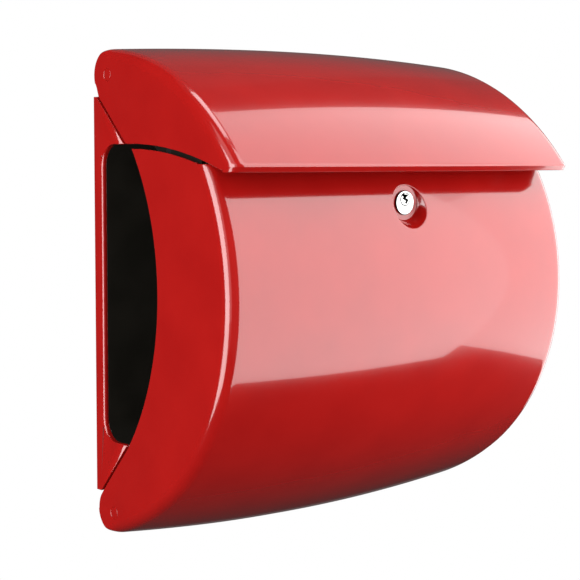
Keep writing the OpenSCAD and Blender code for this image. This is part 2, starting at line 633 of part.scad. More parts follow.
keyway_w = 1.4;
keyway_h = 5.2;
keyway_deep = 5;
plug_proud = 0.3;       // the plug stands this far out of the lock's face
cam_thread = 8;         // length of the screw in the plug
module lock_plug() color("silver") difference() {
    union() {
        rod_y(plug_r, cam_front_d, seat_d + lock_face_t + plug_proud, 0, plug_z);
        translate([-tail_w / 2, -cam_front_d - 1, plug_z - tail_w / 2]) cube([tail_w, cam_t - 0.2 + 1, tail_w]);
    }
    rod_y(thread_r + slack, cam_back_d - 1, cam_back_d + cam_thread + 1, 0, plug_z);
    translate([-keyway_w / 2, -seat_d - lock_face_t - 1, plug_z - keyway_h / 2])
        cube([keyway_w, keyway_deep + 1, keyway_h]);
}

// The cam's free end has rounded corners
cam_corner_r = cam_w / 3;
module lock_cam() color("gainsboro")
    translate([0, -cam_back_d, plug_z]) rotate([90, 0, 0]) linear_extrude(cam_t) difference() {
        union() {
            circle(cam_w / 2);
            translate([-cam_len + cam_corner_r, -cam_w / 2]) square([cam_len - cam_corner_r, cam_w]);
            translate([-cam_len, cam_corner_r - cam_w / 2]) square([cam_corner_r, cam_w - 2 * cam_corner_r]);
            for (z = [-1, 1])
                translate([-cam_len + cam_corner_r, z * (cam_w / 2 - cam_corner_r)]) circle(cam_corner_r);
        }
        square(tail_w + 2 * slack, center = true);
    }

cam_head_r = 4;
cam_head_t = 2.4;
module cam_screw() color("gainsboro") {
    rod_y(cam_head_r, cam_back_d - cam_head_t, cam_back_d, 0, plug_z);
    rod_y(thread_r, cam_back_d - 1, cam_back_d + cam_thread, 0, plug_z);
}

keeper_z = rail_top_z - rail_h / 2;
keeper_half = 18;
keeper_inset = 1;
keeper_hole_x = 13;
keeper_floor = 0.6;     // wall that is left in front of a keeper screw's pilot hole
keeper_head_r = 3;
module keeper_plate() color("silver") difference() {
    translate([-keeper_half, -rail_back_d, rail_low_z + keeper_inset])
        cube([2 * keeper_half, keeper_t, rail_h - 2 * keeper_inset]);
    for (x = [-1, 1])
        rod_y(through_r, rail_back_d - keeper_t - 1, rail_back_d + 1, x * keeper_hole_x, keeper_z);
}
module keeper_screws() color("gainsboro") for (x = [-1, 1]) {
    rod_y(keeper_head_r, rail_back_d - keeper_t - head_t, rail_back_d - keeper_t, x * keeper_hole_x, keeper_z);
    rod_y(pilot_r - shank_slack, rail_back_d - keeper_t - 1, rail_front_d - 1, x * keeper_hole_x, keeper_z);
}

module chassis_screws() color("gainsboro") for (side = [-1, 1]) for (z = tab_z) {
    rod_y(head_r, back_t + tab_t, back_t + tab_t + head_t, side * tab_x, z);
    rod_y(pilot_r - shank_slack, pilot_floor + 0.2, back_t + tab_t + 1, side * tab_x, z);
}
module side_screws(side) color("gainsboro") on_side(side) for (p = fixings) {
    rod_x(head_r, plate_x - head_t - head_gap, plate_x - head_gap, p);
    rod_x(pilot_r - shank_slack, frame_clear_x + 1, plate_x - 1, p);
}

module lid_buffers() color("black") for (side = [-1, 1]) on_side(side) translate([buffer_x, -buffer_d, 0]) {
    translate([0, 0, buffer_seat_z]) cylinder(r = lid_buffer_r, h = buffer_tip_z - buffer_seat_z);
    translate([0, 0, buffer_tip_z]) sphere(lid_buffer_r);
    translate([0, 0, buffer_seat_z - buffer_peg + 0.2]) cylinder(r = buffer_peg_r - slack, h = buffer_peg);
}

door_buffer_z = rail_low_z + door_buffer_r + 1;
door_inner_r = door_arc_r - skin_t + crown_at(door_buffer_w / 2 + door_buffer_r, door_crown);
door_buffer_tip = depth_at(door_c, door_inner_r, door_buffer_z + door_buffer_r) - seat_gap;
module door_buffers() color("black") for (side = [-1, 1]) on_side(side) {
    rod_y(door_buffer_r, rail_front_d, door_buffer_tip, door_buffer_w / 2, door_buffer_z);
    rod_y(door_peg_r - slack, rail_back_d + 0.2, rail_front_d + 1, door_buffer_w / 2, door_buffer_z);
}

rear_housing();
side_plate(-1);  // side_plate_left
side_plate(1);  // side_plate_right
newspaper_tube();
inlet_frame();
letter_tray();
lid();
hinge_pin(-1, lid_pin);  // lid_pin_left
hinge_pin(1, lid_pin);  // lid_pin_right
door();
hinge_pin(-1, door_pin);  // door_pin_left
hinge_pin(1, door_pin);  // door_pin_right
lock_body();
lock_clip();
lock_plug();
lock_cam();
cam_screw();
keeper_plate();
keeper_screws();
chassis_screws();
side_screws(-1);  // side_screws_left
side_screws(1);  // side_screws_right
lid_buffers();
door_buffers();
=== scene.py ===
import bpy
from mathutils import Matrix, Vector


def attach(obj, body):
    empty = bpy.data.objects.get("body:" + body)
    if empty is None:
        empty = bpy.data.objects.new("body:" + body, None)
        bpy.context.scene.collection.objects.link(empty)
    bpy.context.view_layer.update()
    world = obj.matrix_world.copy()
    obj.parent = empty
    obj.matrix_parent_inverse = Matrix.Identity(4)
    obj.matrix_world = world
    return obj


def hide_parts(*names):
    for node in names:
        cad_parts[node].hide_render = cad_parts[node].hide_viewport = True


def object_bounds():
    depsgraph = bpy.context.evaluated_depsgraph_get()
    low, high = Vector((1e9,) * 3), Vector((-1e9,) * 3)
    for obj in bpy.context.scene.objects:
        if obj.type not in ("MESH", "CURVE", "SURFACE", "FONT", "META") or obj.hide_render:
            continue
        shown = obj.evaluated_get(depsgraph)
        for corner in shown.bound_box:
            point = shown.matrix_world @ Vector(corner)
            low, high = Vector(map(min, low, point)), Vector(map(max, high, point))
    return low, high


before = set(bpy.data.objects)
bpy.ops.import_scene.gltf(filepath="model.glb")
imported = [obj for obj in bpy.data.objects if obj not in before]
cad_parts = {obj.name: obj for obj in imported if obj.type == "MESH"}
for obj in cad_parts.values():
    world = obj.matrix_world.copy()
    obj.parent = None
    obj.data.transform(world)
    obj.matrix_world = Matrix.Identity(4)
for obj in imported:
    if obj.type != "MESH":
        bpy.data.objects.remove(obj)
cad_size = [list(corner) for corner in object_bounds()]

from math import cos, pi, radians, sin

import bmesh
import bpy
import numpy as np

mm = 0.001

# The camera stands a little above the lock and well to the left of the box. It looks down by a few degrees,
# so that the upright edges stay almost parallel with only a small shift of the lens.
lens = bpy.data.cameras.new("lens")
lens.sensor_width = 36
lens.lens = 93.53
lens.shift_x = -0.0704
lens.shift_y = -0.08
camera = bpy.data.objects.new("camera", lens)
camera.location = (-0.7944, -1.0286, 0.1029)
camera.rotation_euler = (radians(90 - 3.217), 0, radians(-39.97))
bpy.context.scene.collection.objects.link(camera)
bpy.context.scene.camera = camera
bpy.context.scene.view_settings.view_transform = "Standard"


# The studio is a pale floor under the box, with soft panels of light round it. They stand in an L in front
# and to the right, where they are dimmer higher up. One on the left draws the bright lines down the near
# edges, and one is overhead. Dark flags stand behind the panels.
def soft_panel(name, place, towards, width, height, glow):
    """An upright or lying rectangle of light at place, facing towards a point, with an even glow."""
    lamp = bpy.data.lights.new(name, "AREA")
    lamp.shape = "RECTANGLE"
    lamp.size = width
    lamp.size_y = height
    lamp.energy = glow * pi * width * height
    panel = bpy.data.objects.new(name, lamp)
    panel.location = place
    way = np.array(towards, float) - np.array(place, float)
    turn = np.arctan2(-way[0], way[1])
    rise = np.arctan2(way[2], np.hypot(way[0], way[1]))
    panel.rotation_euler = (pi / 2 + rise, 0, turn)
    bpy.context.scene.collection.objects.link(panel)
    return panel


floor_z = -1.15
panel_low = -1.1
panel_high = 4.2
front_y = -1.3
front_left_x = 0.13
right_x = 1.6
rear_y = 0.3
panel_mid = (panel_low + panel_high) / 2
panel_h = panel_high - panel_low
soft_panel("front_panel", ((front_left_x + right_x) / 2, front_y, panel_mid),
           ((front_left_x + right_x) / 2, 0, panel_mid), right_x - front_left_x, panel_h, 3.3)
side_low = -0.92
side_split = 1.0
side_y = (front_y + rear_y) / 2
for low_z, high_z, glow in ((side_low, side_split, 2.9), (side_split, panel_high, 2.1)):
    side_mid = (low_z + high_z) / 2
    soft_panel("right_panel", (right_x, side_y, side_mid), (0, side_y, side_mid), rear_y - front_y,
               high_z - low_z, glow)
left_x = -1.5
left_y = -0.36
left_z = 0.15
soft_panel("left_panel", (left_x, left_y, left_z), (0, left_y, left_z), 0.88, 2.2, 5.2)
top_x = 0.1
top_y = -0.1
top_z = 2.9
soft_panel("top_panel", (top_x, top_y, top_z), (top_x, top_y, 0), 1.2, 1.2, 4.2)

# The backdrop is white all round, also in what mirrors it, and it gives a low even light
ambient = 0.25
room = bpy.data.worlds.new("room")
bpy.context.scene.world = room
room.use_nodes = True
wires = room.node_tree
wires.nodes.clear()
sight = wires.nodes.new("ShaderNodeLightPath")
seen = wires.nodes.new("ShaderNodeMath")
seen.operation = "MAXIMUM"
wires.links.new(sight.outputs["Is Camera Ray"], seen.inputs[0])
wires.links.new(sight.outputs["Is Glossy Ray"], seen.inputs[1])
through = wires.nodes.new("ShaderNodeMath")
through.operation = "MAXIMUM"
wires.links.new(seen.outputs[0], through.inputs[0])
wires.links.new(sight.outputs["Is Transmission Ray"], through.inputs[1])
level = wires.nodes.new("ShaderNodeMath")
level.operation = "MAXIMUM"
level.inputs[1].default_value = ambient
wires.links.new(through.outputs[0], level.inputs[0])
sky = wires.nodes.new("ShaderNodeBackground")
sky.inputs["Color"].default_value = (1, 1, 1, 1)
wires.links.new(level.outputs[0], sky.inputs["Strength"])
out = wires.nodes.new("ShaderNodeOutputWorld")
wires.links.new(sky.outputs[0], out.inputs["Surface"])


def dark_card(name, corners, tone, bounce):
    """A flag through four corners. It shows only in what mirrors it, and can hold back stray bounce."""
    mesh = bpy.data.meshes.new(name)
    mesh.from_pydata(corners, [], [(0, 1, 2, 3)])
    card = bpy.data.objects.new(name, mesh)
    bpy.context.scene.collection.objects.link(card)
    cloth = bpy.data.materials.new(name + "_cloth")
    cloth.use_nodes = True
    wires = cloth.node_tree
    wires.nodes.clear()
    glow = wires.nodes.new("ShaderNodeEmission")
    glow.inputs["Strength"].default_value = tone
    out = wires.nodes.new("ShaderNodeOutputMaterial")
    wires.links.new(glow.outputs[0], out.inputs["Surface"])
    mesh.materials.append(cloth)
    card.visible_camera = False
    card.visible_shadow = False
    card.visible_transmission = False
    card.visible_diffuse = bounce


west = -2.4
east = 2.4
south = -2.2
north = 1.6
low = floor_z + 0.02
high = 4.3
corner_x = -0.3
left_start_y = 0.15
for name, start, end, tone in (("left_card", (west, left_start_y), (west, north), 0.02),
                               ("rear_card", (west, north), (corner_x, north), 0.02),
                               ("back_card", (corner_x, north), (east, north), 0.1),
                               ("right_card", (east, south), (east, north), 0.08),
                               ("front_card", (west, south), (east, south), 0.08)):
    dark_card(name, [(*start, low), (*end, low), (*end, high), (*start, high)], tone, False)
for name, z, tone, bounce in (("ceiling_card", high, 0.08, False), ("low_card", low, 0.03, True)):
    dark_card(name, [(west, south, z), (east, south, z), (east, north, z), (west, north, z)], tone, bounce)

# The floor fades from pale paper under the box, which takes its shadow, to the white of the backdrop
floor_r = 6.0
floor_edges = 96
ring = np.linspace(0, 2 * pi, floor_edges, endpoint=False)
floor_points = np.stack([floor_r * np.cos(ring), floor_r * np.sin(ring), 0 * ring + floor_z], 1)
floor_mesh = bpy.data.meshes.new("floor")
floor_mesh.from_pydata(floor_points.tolist(), [], [list(range(floor_edges))])
floor = bpy.data.objects.new("floor", floor_mesh)
bpy.context.scene.collection.objects.link(floor)
paper = bpy.data.materials.new("floor_paper")
paper.use_nodes = True
wires = paper.node_tree
wires.nodes.clear()
flat = wires.nodes.new("ShaderNodeBsdfDiffuse")
flat.inputs["Color"].default_value = (0.86, 0.86, 0.86, 1)
white = wires.nodes.new("ShaderNodeEmission")
where = wires.nodes.new("ShaderNodeTexCoord")
reach = wires.nodes.new("ShaderNodeVectorMath")
reach.operation = "LENGTH"
wires.links.new(where.outputs["Object"], reach.inputs[0])
fade = wires.nodes.new("ShaderNodeMapRange")
fade.interpolation_type = "SMOOTHSTEP"
fade.inputs["From Min"].default_value = 1.6
fade.inputs["From Max"].default_value = 2.6
wires.links.new(reach.outputs["Value"], fade.inputs["Value"])
sight = wires.nodes.new("ShaderNodeLightPath")
both = wires.nodes.new("ShaderNodeMath")
both.operation = "MULTIPLY"
wires.links.new(fade.outputs["Result"], both.inputs[0])
wires.links.new(sight.outputs["Is Camera Ray"], both.inputs[1])
blend = wires.nodes.new("ShaderNodeMixShader")
wires.links.new(both.outputs[0], blend.inputs[0])
wires.links.new(flat.outputs[0], blend.inputs[1])
wires.links.new(white.outputs[0], blend.inputs[2])
out = wires.nodes.new("ShaderNodeOutputMaterial")
wires.links.new(blend.outputs[0], out.inputs["Surface"])
floor_mesh.materials.append(paper)

# The lid is one moulding in glossy red plastic: a skin bent over an arc and a round end, a flat cheek on each
# side with a hole for its hinge pin, and a lip along the front that is eased at its foot.
half_w = 175 * mm
skin_t = 3 * mm
edge_r = 9 * mm
edge_min_r = 1 * mm
inner_edge_min_r = 0.6 * mm
lid_pin = np.array([20, 168]) * mm
pin_hole_r = 4.55 * mm
lid_end_r = 19.5 * mm
lid_arc_r = 230.4 * mm
lid_lip = np.array([185, 97.3]) * mm
lip_h = 3.8 * mm
lid_crown = 7.6 * mm
lid_heel = np.array([7, 151.3]) * mm
lid_corner = np.array([46, 114.2]) * mm
lid_skin_end = radians(200)


def circles_meet(p, rp, q, rq):
    """Where two circles meet, on the side that lies to the right of the way from p to q."""
    way = q - p
    far = np.hypot(*way)
    along = (rp * rp - rq * rq + far * far) / (2 * far)
    off = np.sqrt(rp * rp - along * along)
    return p + way * along / far + np.array([way[1], -way[0]]) * off / far


def ray(angle):
    """Unit vector at an angle, as depth and height."""
    return np.stack([np.cos(angle), np.sin(angle)], -1)


def angle_of(way):
    """The angle of a way given as depth and height."""
    return np.arctan2(way[1], way[0])


def fade_out(angle, start, end):
    """A share that falls from one to none between two angles, as a squared cosine."""
    return np.cos(pi / 2 * np.clip((angle - start) / (end - start), 0, 1)) ** 2


def side_arc(centre, radius, angles, share, cut_z=None):
    """Rows of a moulding's skin along one arc of its side outline. Where cut_z is given, as a height and the
    last angle, the angles are shares from 0, at that angle, to 1, at the height."""
    angles = np.asarray(angles, float)
    last = np.full(angles.shape, cut_z[1] if cut_z else 0.0)
    return {"centre": np.tile(centre, (len(angles), 1)), "radius": np.full(angles.shape, radius),
            "angle": last if cut_z else angles, "cut": angles if cut_z else 0 * angles,
            "cut_z": np.full(angles.shape, cut_z[0] if cut_z else 0.0),
            "share": np.broadcast_to(share, angles.shape)}


def rows_of(*arcs):
    """The rows of arcs that follow each other, as one run."""
    return {key: np.concatenate([arc[key] for arc in arcs]) for key in arcs[0]}


edge_steps = 10
across_steps = 120
edge_turn = np.linspace(0, pi / 2, edge_steps + 1)
column_side = np.concatenate([-np.ones(edge_steps + 1), np.zeros(across_steps - 1), np.ones(edge_steps + 1)])
column_turn = np.concatenate([edge_turn[::-1], np.zeros(across_steps - 1), edge_turn])
column_across = np.concatenate([np.zeros(edge_steps + 1), np.linspace(-1, 1, across_steps + 1)[1:-1],
                                np.zeros(edge_steps + 1)])


def bent_skin(rows, crown, inset):
    """Points of a moulding's skin, rows by columns. Along a column the point follows the side outline's arcs.
    Across, the radius swells by the crown as one minus the square of x, and rolls over into the cheeks."""
    share = rows["share"][:, None]
    roll = edge_min_r + (edge_r - edge_min_r) * share
    if inset:
        roll = np.maximum(roll - inset, inner_edge_min_r)
    reach_x = half_w - inset - roll
    rolled_x = column_side * (reach_x + roll * np.sin(column_turn))
    x = np.where(column_side == 0, column_across * reach_x, rolled_x)
    drop = np.where(column_side == 0, 0, roll - roll * np.cos(column_turn))
    radius = rows["radius"][:, None] + share * crown * (1 - (x / half_w) ** 2) - inset - drop
    rise = np.where(rows["cut"][:, None] > 0, (rows["cut_z"] - rows["centre"][:, 1])[:, None] / radius, 0)
    angle = rows["angle"][:, None] + rows["cut"][:, None] * (np.arcsin(rise) - rows["angle"][:, None])
    depth = rows["centre"][:, 0, None] + radius * np.cos(angle)
    return np.stack([x, -depth, rows["centre"][:, 1, None] + radius * np.sin(angle)], -1)


class Mould:
    """Collects the points and faces of one closed piece."""

    def __init__(self):
        self.points = []
        self.faces = []
        self.count = 0

    def add(self, points):
        """Adds an array of points and returns their numbers in the same layout."""
        shape = points.shape[:-1]
        self.points.append(points.reshape(-1, 3))
        numbers = np.arange(self.count, self.count + int(np.prod(shape))).reshape(shape)
        self.count += numbers.size
        return numbers

    def points_of(self, numbers):
        """The points with these numbers."""
        return np.concatenate(self.points)[numbers]

    def skin(self, grid, keep=None):
        """Four-sided faces between the rows and columns of a grid of numbers, apart from those in a block."""
        quads = np.stack([grid[:-1, :-1], grid[1:, :-1], grid[1:, 1:], grid[:-1, 1:]], -1)
        kept = quads.reshape(-1, 4) if keep is None else quads[keep]
        self.faces += kept.tolist()

    def rings(self, loops):
        """Faces between closed loops that follow each other, each with as many points as the next."""
        loops = np.array(loops)
        self.skin(np.concatenate([loops, loops[:, :1]], 1))

    def pierced(self, outline, hole, centre):
        """Two flat faces that fill an outline round a hole, parted above and below the hole."""
        place = self.points_of(outline)[:, 1:] * np.array([-1, 1])
        rim = self.points_of(hole)[:, 1:] * np.array([-1, 1])
        cuts = []
        for sign in (1, -1):
            off = np.abs(place[:, 0] - centre[0]) + np.where(sign * (place[:, 1] - centre[1]) > 0, 0, 1)
            cuts.append((int(np.argmin(off)), int(np.argmax(sign * rim[:, 1]))))
        (top, rim_top), (low, rim_low) = cuts

        def run(loop, start, end, step=1):
            """The numbers of a closed loop from one place on it to another, in either direction."""
            count = (step * (end - start)) % len(loop) + 1
            return [int(loop[(start + step * k) % len(loop)]) for k in range(count)]

        area = np.sum(place[:, 0] * np.roll(place[:, 1], -1) - place[:, 1] * np.roll(place[:, 0], -1))
        turn = np.sum(rim[:, 0] * np.roll(rim[:, 1], -1) - rim[:, 1] * np.roll(rim[:, 0], -1))
        step = -1 if area * turn > 0 else 1
        self.faces.append(run(outline, top, low) + run(hole, rim_low, rim_top, step))
        self.faces.append(run(outline, low, top) + run(hole, rim_top, rim_low, step))

    def piece(self, name, material, body, *nodes):
        """The finished object, with its faces outwards. It rides on its body in place of the nodes."""
        mesh = bpy.data.meshes.new(name)
        mesh.from_pydata(np.concatenate(self.points).tolist(), [], self.faces)
        shell = bmesh.new()
        shell.from_mesh(mesh)
        bmesh.ops.recalc_face_normals(shell, faces=shell.faces)
        shell.to_mesh(mesh)
        shell.free()
        mesh.shade_smooth()
        mesh.materials.append(material)
        made = bpy.data.objects.new(name, mesh)
        bpy.context.scene.collection.objects.link(made)
        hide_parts(*nodes)
        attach(made, body)
        return made


def inward(outline):
    """For each point of a closed outline, the way in that keeps an even distance to both its edges."""
    edges = np.roll(outline, -1, 0) - outline
    edges /= np.linalg.norm(edges, axis=1)[:, None]
    area = np.sum(outline[:, 0] * np.roll(outline[:, 1], -1) - outline[:, 1] * np.roll(outline[:, 0], -1))
    normal = np.stack([-edges[:, 1], edges[:, 0]], 1) * np.sign(area)
    before = np.roll(normal, 1, 0)
    return (normal + before) / np.maximum(1 + np.sum(normal * before, 1), 0.4)[:, None]


def line(p, q, step=3 * mm):
    """Points from p towards q, an even step apart, without q."""
    count = max(int(np.hypot(*(q - p)) / step), 1)
    return p + (q - p) * (np.arange(count) / count)[:, None]


hole_edges = 48
hole_turn = np.linspace(0, 2 * pi, hole_edges, endpoint=False)
rim_r = 0.6 * mm
flat_edge = 0.3 * mm
hole_ease = 0.35 * mm
rim_turn = np.linspace(0, pi / 2, 5)


def moulding(mould, outer, inner, chain, pin, keep_outer=None, keep_inner=None):
    """A moulding's skin, cheeks and rim. The chain closes a cheek from the last row back to the first. The
    rim between the outer and the inner wall is rounded by a quarter circle on each side."""
    last = outer.shape[1] - 1
    walls = []
    for grid, wall_x in ((outer, half_w), (inner, half_w - skin_t)):
        arc = np.stack([-grid[:, 0, 1], grid[:, 0, 2]], 1)
        ways = inward(np.concatenate([arc, chain]))
        ways3 = np.stack([0 * ways[:, 0], -ways[:, 0], ways[:, 1]], 1)
        rows = len(grid)
        chains = [np.stack([np.full(len(chain), side * wall_x), -chain[:, 0], chain[:, 1]], 1)
                  for side in (-1, 1)]
        towards = [grid[1] - grid[0], grid[-2] - grid[-1]]
        sizes = [np.linalg.norm(way, axis=1)[:, None] for way in towards]
        towards = [way / size for way, size in zip(towards, sizes)]
        for end, corner in ((0, 0), (1, rows - 1)):
            towards[end][[0, last]] = ways3[corner]
        place = np.concatenate([grid[0], chains[1][::-1], grid[-1][::-1], chains[0]])
        way = np.concatenate([towards[0], ways3[rows:][::-1], towards[1][::-1], ways3[rows:]])
        room = np.concatenate([sizes[0], np.ones((len(chain), 1)), sizes[1], np.ones((len(chain), 1))])
        walls.append((place, way, np.minimum(rim_r, 0.45 * room), ways3))
    thick = walls[1][0] - walls[0][0]
    thick /= np.linalg.norm(thick, axis=1)[:, None]
    loops = []
    for grid, (place, way, size, wall_ways), wall_x, through, keep in (
            (outer, walls[0], half_w, thick, keep_outer),
            (inner, walls[1], half_w - skin_t, -thick, keep_inner)):
        start = place + size * way
        grid = grid.copy()
        n = grid.shape[1]
        k = len(chain)
        grid[0] = start[:n]
        grid[-1] = start[n + k:2 * n + k][::-1]
        numbers = mould.add(grid)
        right = mould.add(start[n:n + k])
        left = mould.add(start[2 * n + k:])
        mould.skin(numbers, keep)
        for column, side, chain_numbers in ((0, -1, left), (last, 1, right[::-1])):
            loop = np.concatenate([numbers[:, column], chain_numbers])
            border = np.concatenate([grid[:, column], mould.points_of(chain_numbers)])
            border[:, 1:] += (flat_edge * wall_ways)[:, 1:]
            sink = hole_ease * (1 if wall_x == half_w else -1)
            holes = [mould.add(np.stack([np.full(hole_edges, side * (wall_x - down)),
                                         -pin[0] - radius * np.cos(hole_turn),
                                         pin[1] + radius * np.sin(hole_turn)], 1))
                     for radius, down in ((pin_hole_r, sink), (pin_hole_r + hole_ease, 0.1 * sink),
                                          (pin_hole_r + hole_ease + flat_edge, 0))]
            inset = mould.add(border)
            mould.rings([loop, inset])
            mould.rings(holes)
            mould.pierced(inset, holes[-1], pin)
            loops.append(holes[0])
        rings = [np.concatenate([numbers[0], right, numbers[-1][::-1], left])]
        for turn in rim_turn[1:]:
            rings.append(mould.add(place + size * (1 - sin(turn)) * way + size * (1 - cos(turn)) * through))
        loops.append(rings)
        walls.append(numbers)
    left_out, right_out, rings_out, left_in, right_in, rings_in = loops
    mould.rings([left_out, left_in])
    mould.rings([right_out, right_in])
    mould.rings(rings_out + rings_in[::-1])
    return walls[2], walls[3]


def pattern_of(name):
    """A new material, with its nodes, its shader and the object's own coordinates to pattern it by."""
    material = bpy.data.materials.new(name)
    material.use_nodes = True
    wires = material.node_tree
    where = wires.nodes.new("ShaderNodeTexCoord").outputs["Object"]
    return material, wires, wires.nodes["Principled BSDF"], where


def cloud(wires, where, scale, detail=2):
    """Soft noise over the object, around one half."""
    noise = wires.nodes.new("ShaderNodeTexNoise")
    noise.inputs["Scale"].default_value = scale
    noise.inputs["Detail"].default_value = detail
    wires.links.new(where, noise.inputs["Vector"])
    return noise.outputs["Fac"]


def mottle(wires, shader, share, dark, light, start=0.0, end=1.0):
    """Base colour that runs from dark to light as the share goes from start to end."""
    tint = wires.nodes.new("ShaderNodeValToRGB")
    for stop, place, colour in zip(tint.color_ramp.elements, (start, end), (dark, light)):
        stop.position = place
        stop.color = (*colour, 1)
    wires.links.new(share, tint.inputs["Fac"])
    wires.links.new(tint.outputs["Color"], shader.inputs["Base Color"])


def vary_gloss(wires, shader, share, least, most):
    """Roughness that runs from least to most with the share."""
    span = wires.nodes.new("ShaderNodeMapRange")
    span.inputs["To Min"].default_value = least
    span.inputs["To Max"].default_value = most
    wires.links.new(share, span.inputs["Value"])
    wires.links.new(span.outputs["Result"], shader.inputs["Roughness"])


def relief(wires, shader, height, strength, depth, over=None):
    """Bumps of a depth in metres. Where over is given, they lie on those bumps."""
    bump = wires.nodes.new("ShaderNodeBump")
    bump.inputs["Strength"].default_value = strength
    bump.inputs["Distance"].default_value = depth
    wires.links.new(height, bump.inputs["Height"])
    if over:
        wires.links.new(over.outputs["Normal"], bump.inputs["Normal"])
    wires.links.new(bump.outputs["Normal"], shader.inputs["Normal"])
    return bump


def glossy_red():
    """Self-coloured red plastic from a polished mould: a clear gloss over a slightly softer one, with faint
    orange peel, the slow waviness of a large moulding, and a very slight mottling of its colour."""
    material, wires, shader, where = pattern_of("red_plastic")
    mottle(wires, shader, cloud(wires, where, 22, 4), (0.375, 0.0060, 0.0050), (0.420, 0.0078, 0.0062),
           0.3, 0.7)
    vary_gloss(wires, shader, cloud(wires, where, 60, 6), 0.13, 0.19)
    peel = relief(wires, shader, cloud(wires, where, 520), 0.05, 0.12 * mm)
    relief(wires, shader, cloud(wires, where, 11, 1), 0.25, 0.6 * mm, peel)
    shader.inputs["Coat Weight"].default_value = 0.9
    shader.inputs["Coat Roughness"].default_value = 0.03
    shader.inputs["IOR"].default_value = 1.5
    return material


red = glossy_red()
lid_c = circles_meet(lid_pin, lid_arc_r - lid_end_r, lid_lip, lid_arc_r)
lid_join = angle_of(lid_pin - lid_c)
lid_fade = (radians(65), radians(125))
lid_shares = np.linspace(1, 0, 61)
lid_angles = lid_join + lid_shares * (np.arcsin((lid_lip[1] - lid_c[1]) / lid_arc_r) - lid_join)
lid_end_angles = np.linspace(lid_join, lid_skin_end, 41)[1:]
lid_rows = rows_of(
    side_arc(lid_c, lid_arc_r, lid_shares, fade_out(lid_angles, *lid_fade), (lid_lip[1], lid_join)),
    side_arc(lid_pin, lid_end_r, lid_end_angles, fade_out(lid_end_angles, *lid_fade)))
lid_outer = bent_skin(lid_rows, lid_crown, 0)
lid_inner = bent_skin(lid_rows, lid_crown, skin_t)
# Under its front edge the lid turns back in a lip that leans inwards and is eased at its foot
lip_form = np.array([[3.1, -3.8], [2.75, -3.8], [2.5, -3.6], [2.25, -3.25], [1.9, -2.7], [1.2, -1.7],
                     [0.45, -0.65], [0.08, -0.12], [0.02, -0.03]]) * mm
lip_rows = lid_outer[0] + np.stack([0 * lip_form[:, 0], lip_form[:, 0], lip_form[:, 1]], 1)[:, None]
lid_outer = np.concatenate([lip_rows, lid_outer])
lid_inner = np.concatenate([lid_inner[:1] - np.array([0, 0, lip_h]), lid_inner])
cheek_front_d = lid_c[0] + np.sqrt((lid_arc_r - edge_r) ** 2 - (lid_lip[1] - lid_c[1]) ** 2)
cheek_edge_r = 372 * mm
cheek_run = np.array([cheek_front_d, lid_lip[1] - lip_h]) - lid_corner
cheek_in = np.sqrt(cheek_edge_r ** 2 / cheek_run.dot(cheek_run) - 1 / 4)
cheek_edge_c = lid_corner + cheek_run / 2 + cheek_in * np.array([cheek_run[1], -cheek_run[0]])


def under_edge(depths, radius):
    """Points of a cheek's lower edge, which falls along a wide circle from the rear corner to the front."""
    return np.stack([depths, cheek_edge_c[1] + np.sqrt(radius ** 2 - (depths - cheek_edge_c[0]) ** 2)], 1)


cheek_foot = radians(12)
lid_foot = lid_pin + (lid_end_r - edge_min_r) * ray(lid_skin_end + cheek_foot)
lid_chain = np.concatenate([line(lid_foot, lid_heel), line(lid_heel, lid_corner),
                            under_edge(np.linspace(lid_corner[0], cheek_front_d, 49)[:-1], cheek_edge_r)])
lid_mould = Mould()
moulding(lid_mould, lid_outer, lid_inner, lid_chain, lid_pin)
lid = lid_mould.piece("lid_moulding", red, "lid", "lid")

# The door is the second red moulding. Its front bulges like a barrel and runs over a flatter belly into the
# round end at its hinge. Its cheeks are hollowed at the back, and a flared seat near the top holds the lock.
door_pin = np.array([25, -174]) * mm
door_arc_r = 186 * mm
door_reach = 179 * mm
belly_angle = radians(53)
belly_r = 266 * mm
door_end_r = 18 * mm
door_end_d = 20 * mm
door_crown = 8.9 * mm
edge_gap = 3.6 * mm
door_top_d = 142 * mm
crescent_top_d = 54 * mm
crescent_low = np.array([46, -119.7]) * mm
crescent_sink = 38 * mm
door_skin_end = radians(175)
door_c = np.array([door_reach - door_arc_r, 0])
belly_c = door_c + (door_arc_r - belly_r) * ray(-belly_angle)
door_end_drop = np.sqrt((belly_r - door_end_r) ** 2 - (door_end_d - belly_c[0]) ** 2)
door_end_c = np.array([door_end_d, belly_c[1] - door_end_drop])
door_join = angle_of(door_end_c - belly_c)
door_top_r = cheek_edge_r - edge_gap
door_top_z = under_edge(np.array([door_top_d]), door_top_r)[0, 1]
door_end_angles = np.linspace(door_join, -door_skin_end, 37)
door_fade = (-door_join, -door_join + radians(50))
door_rows = rows_of(
    side_arc(door_c, door_arc_r, np.linspace(1, 0, 111)[:-1], 1.0, (door_top_z, -belly_angle)),
    side_arc(belly_c, belly_r, np.linspace(-belly_angle, door_join, 17)[:-1], 1.0),
    side_arc(door_end_c, door_end_r, door_end_angles, fade_out(-door_end_angles, *door_fade)))
door_outer = bent_skin(door_rows, door_crown, 0)
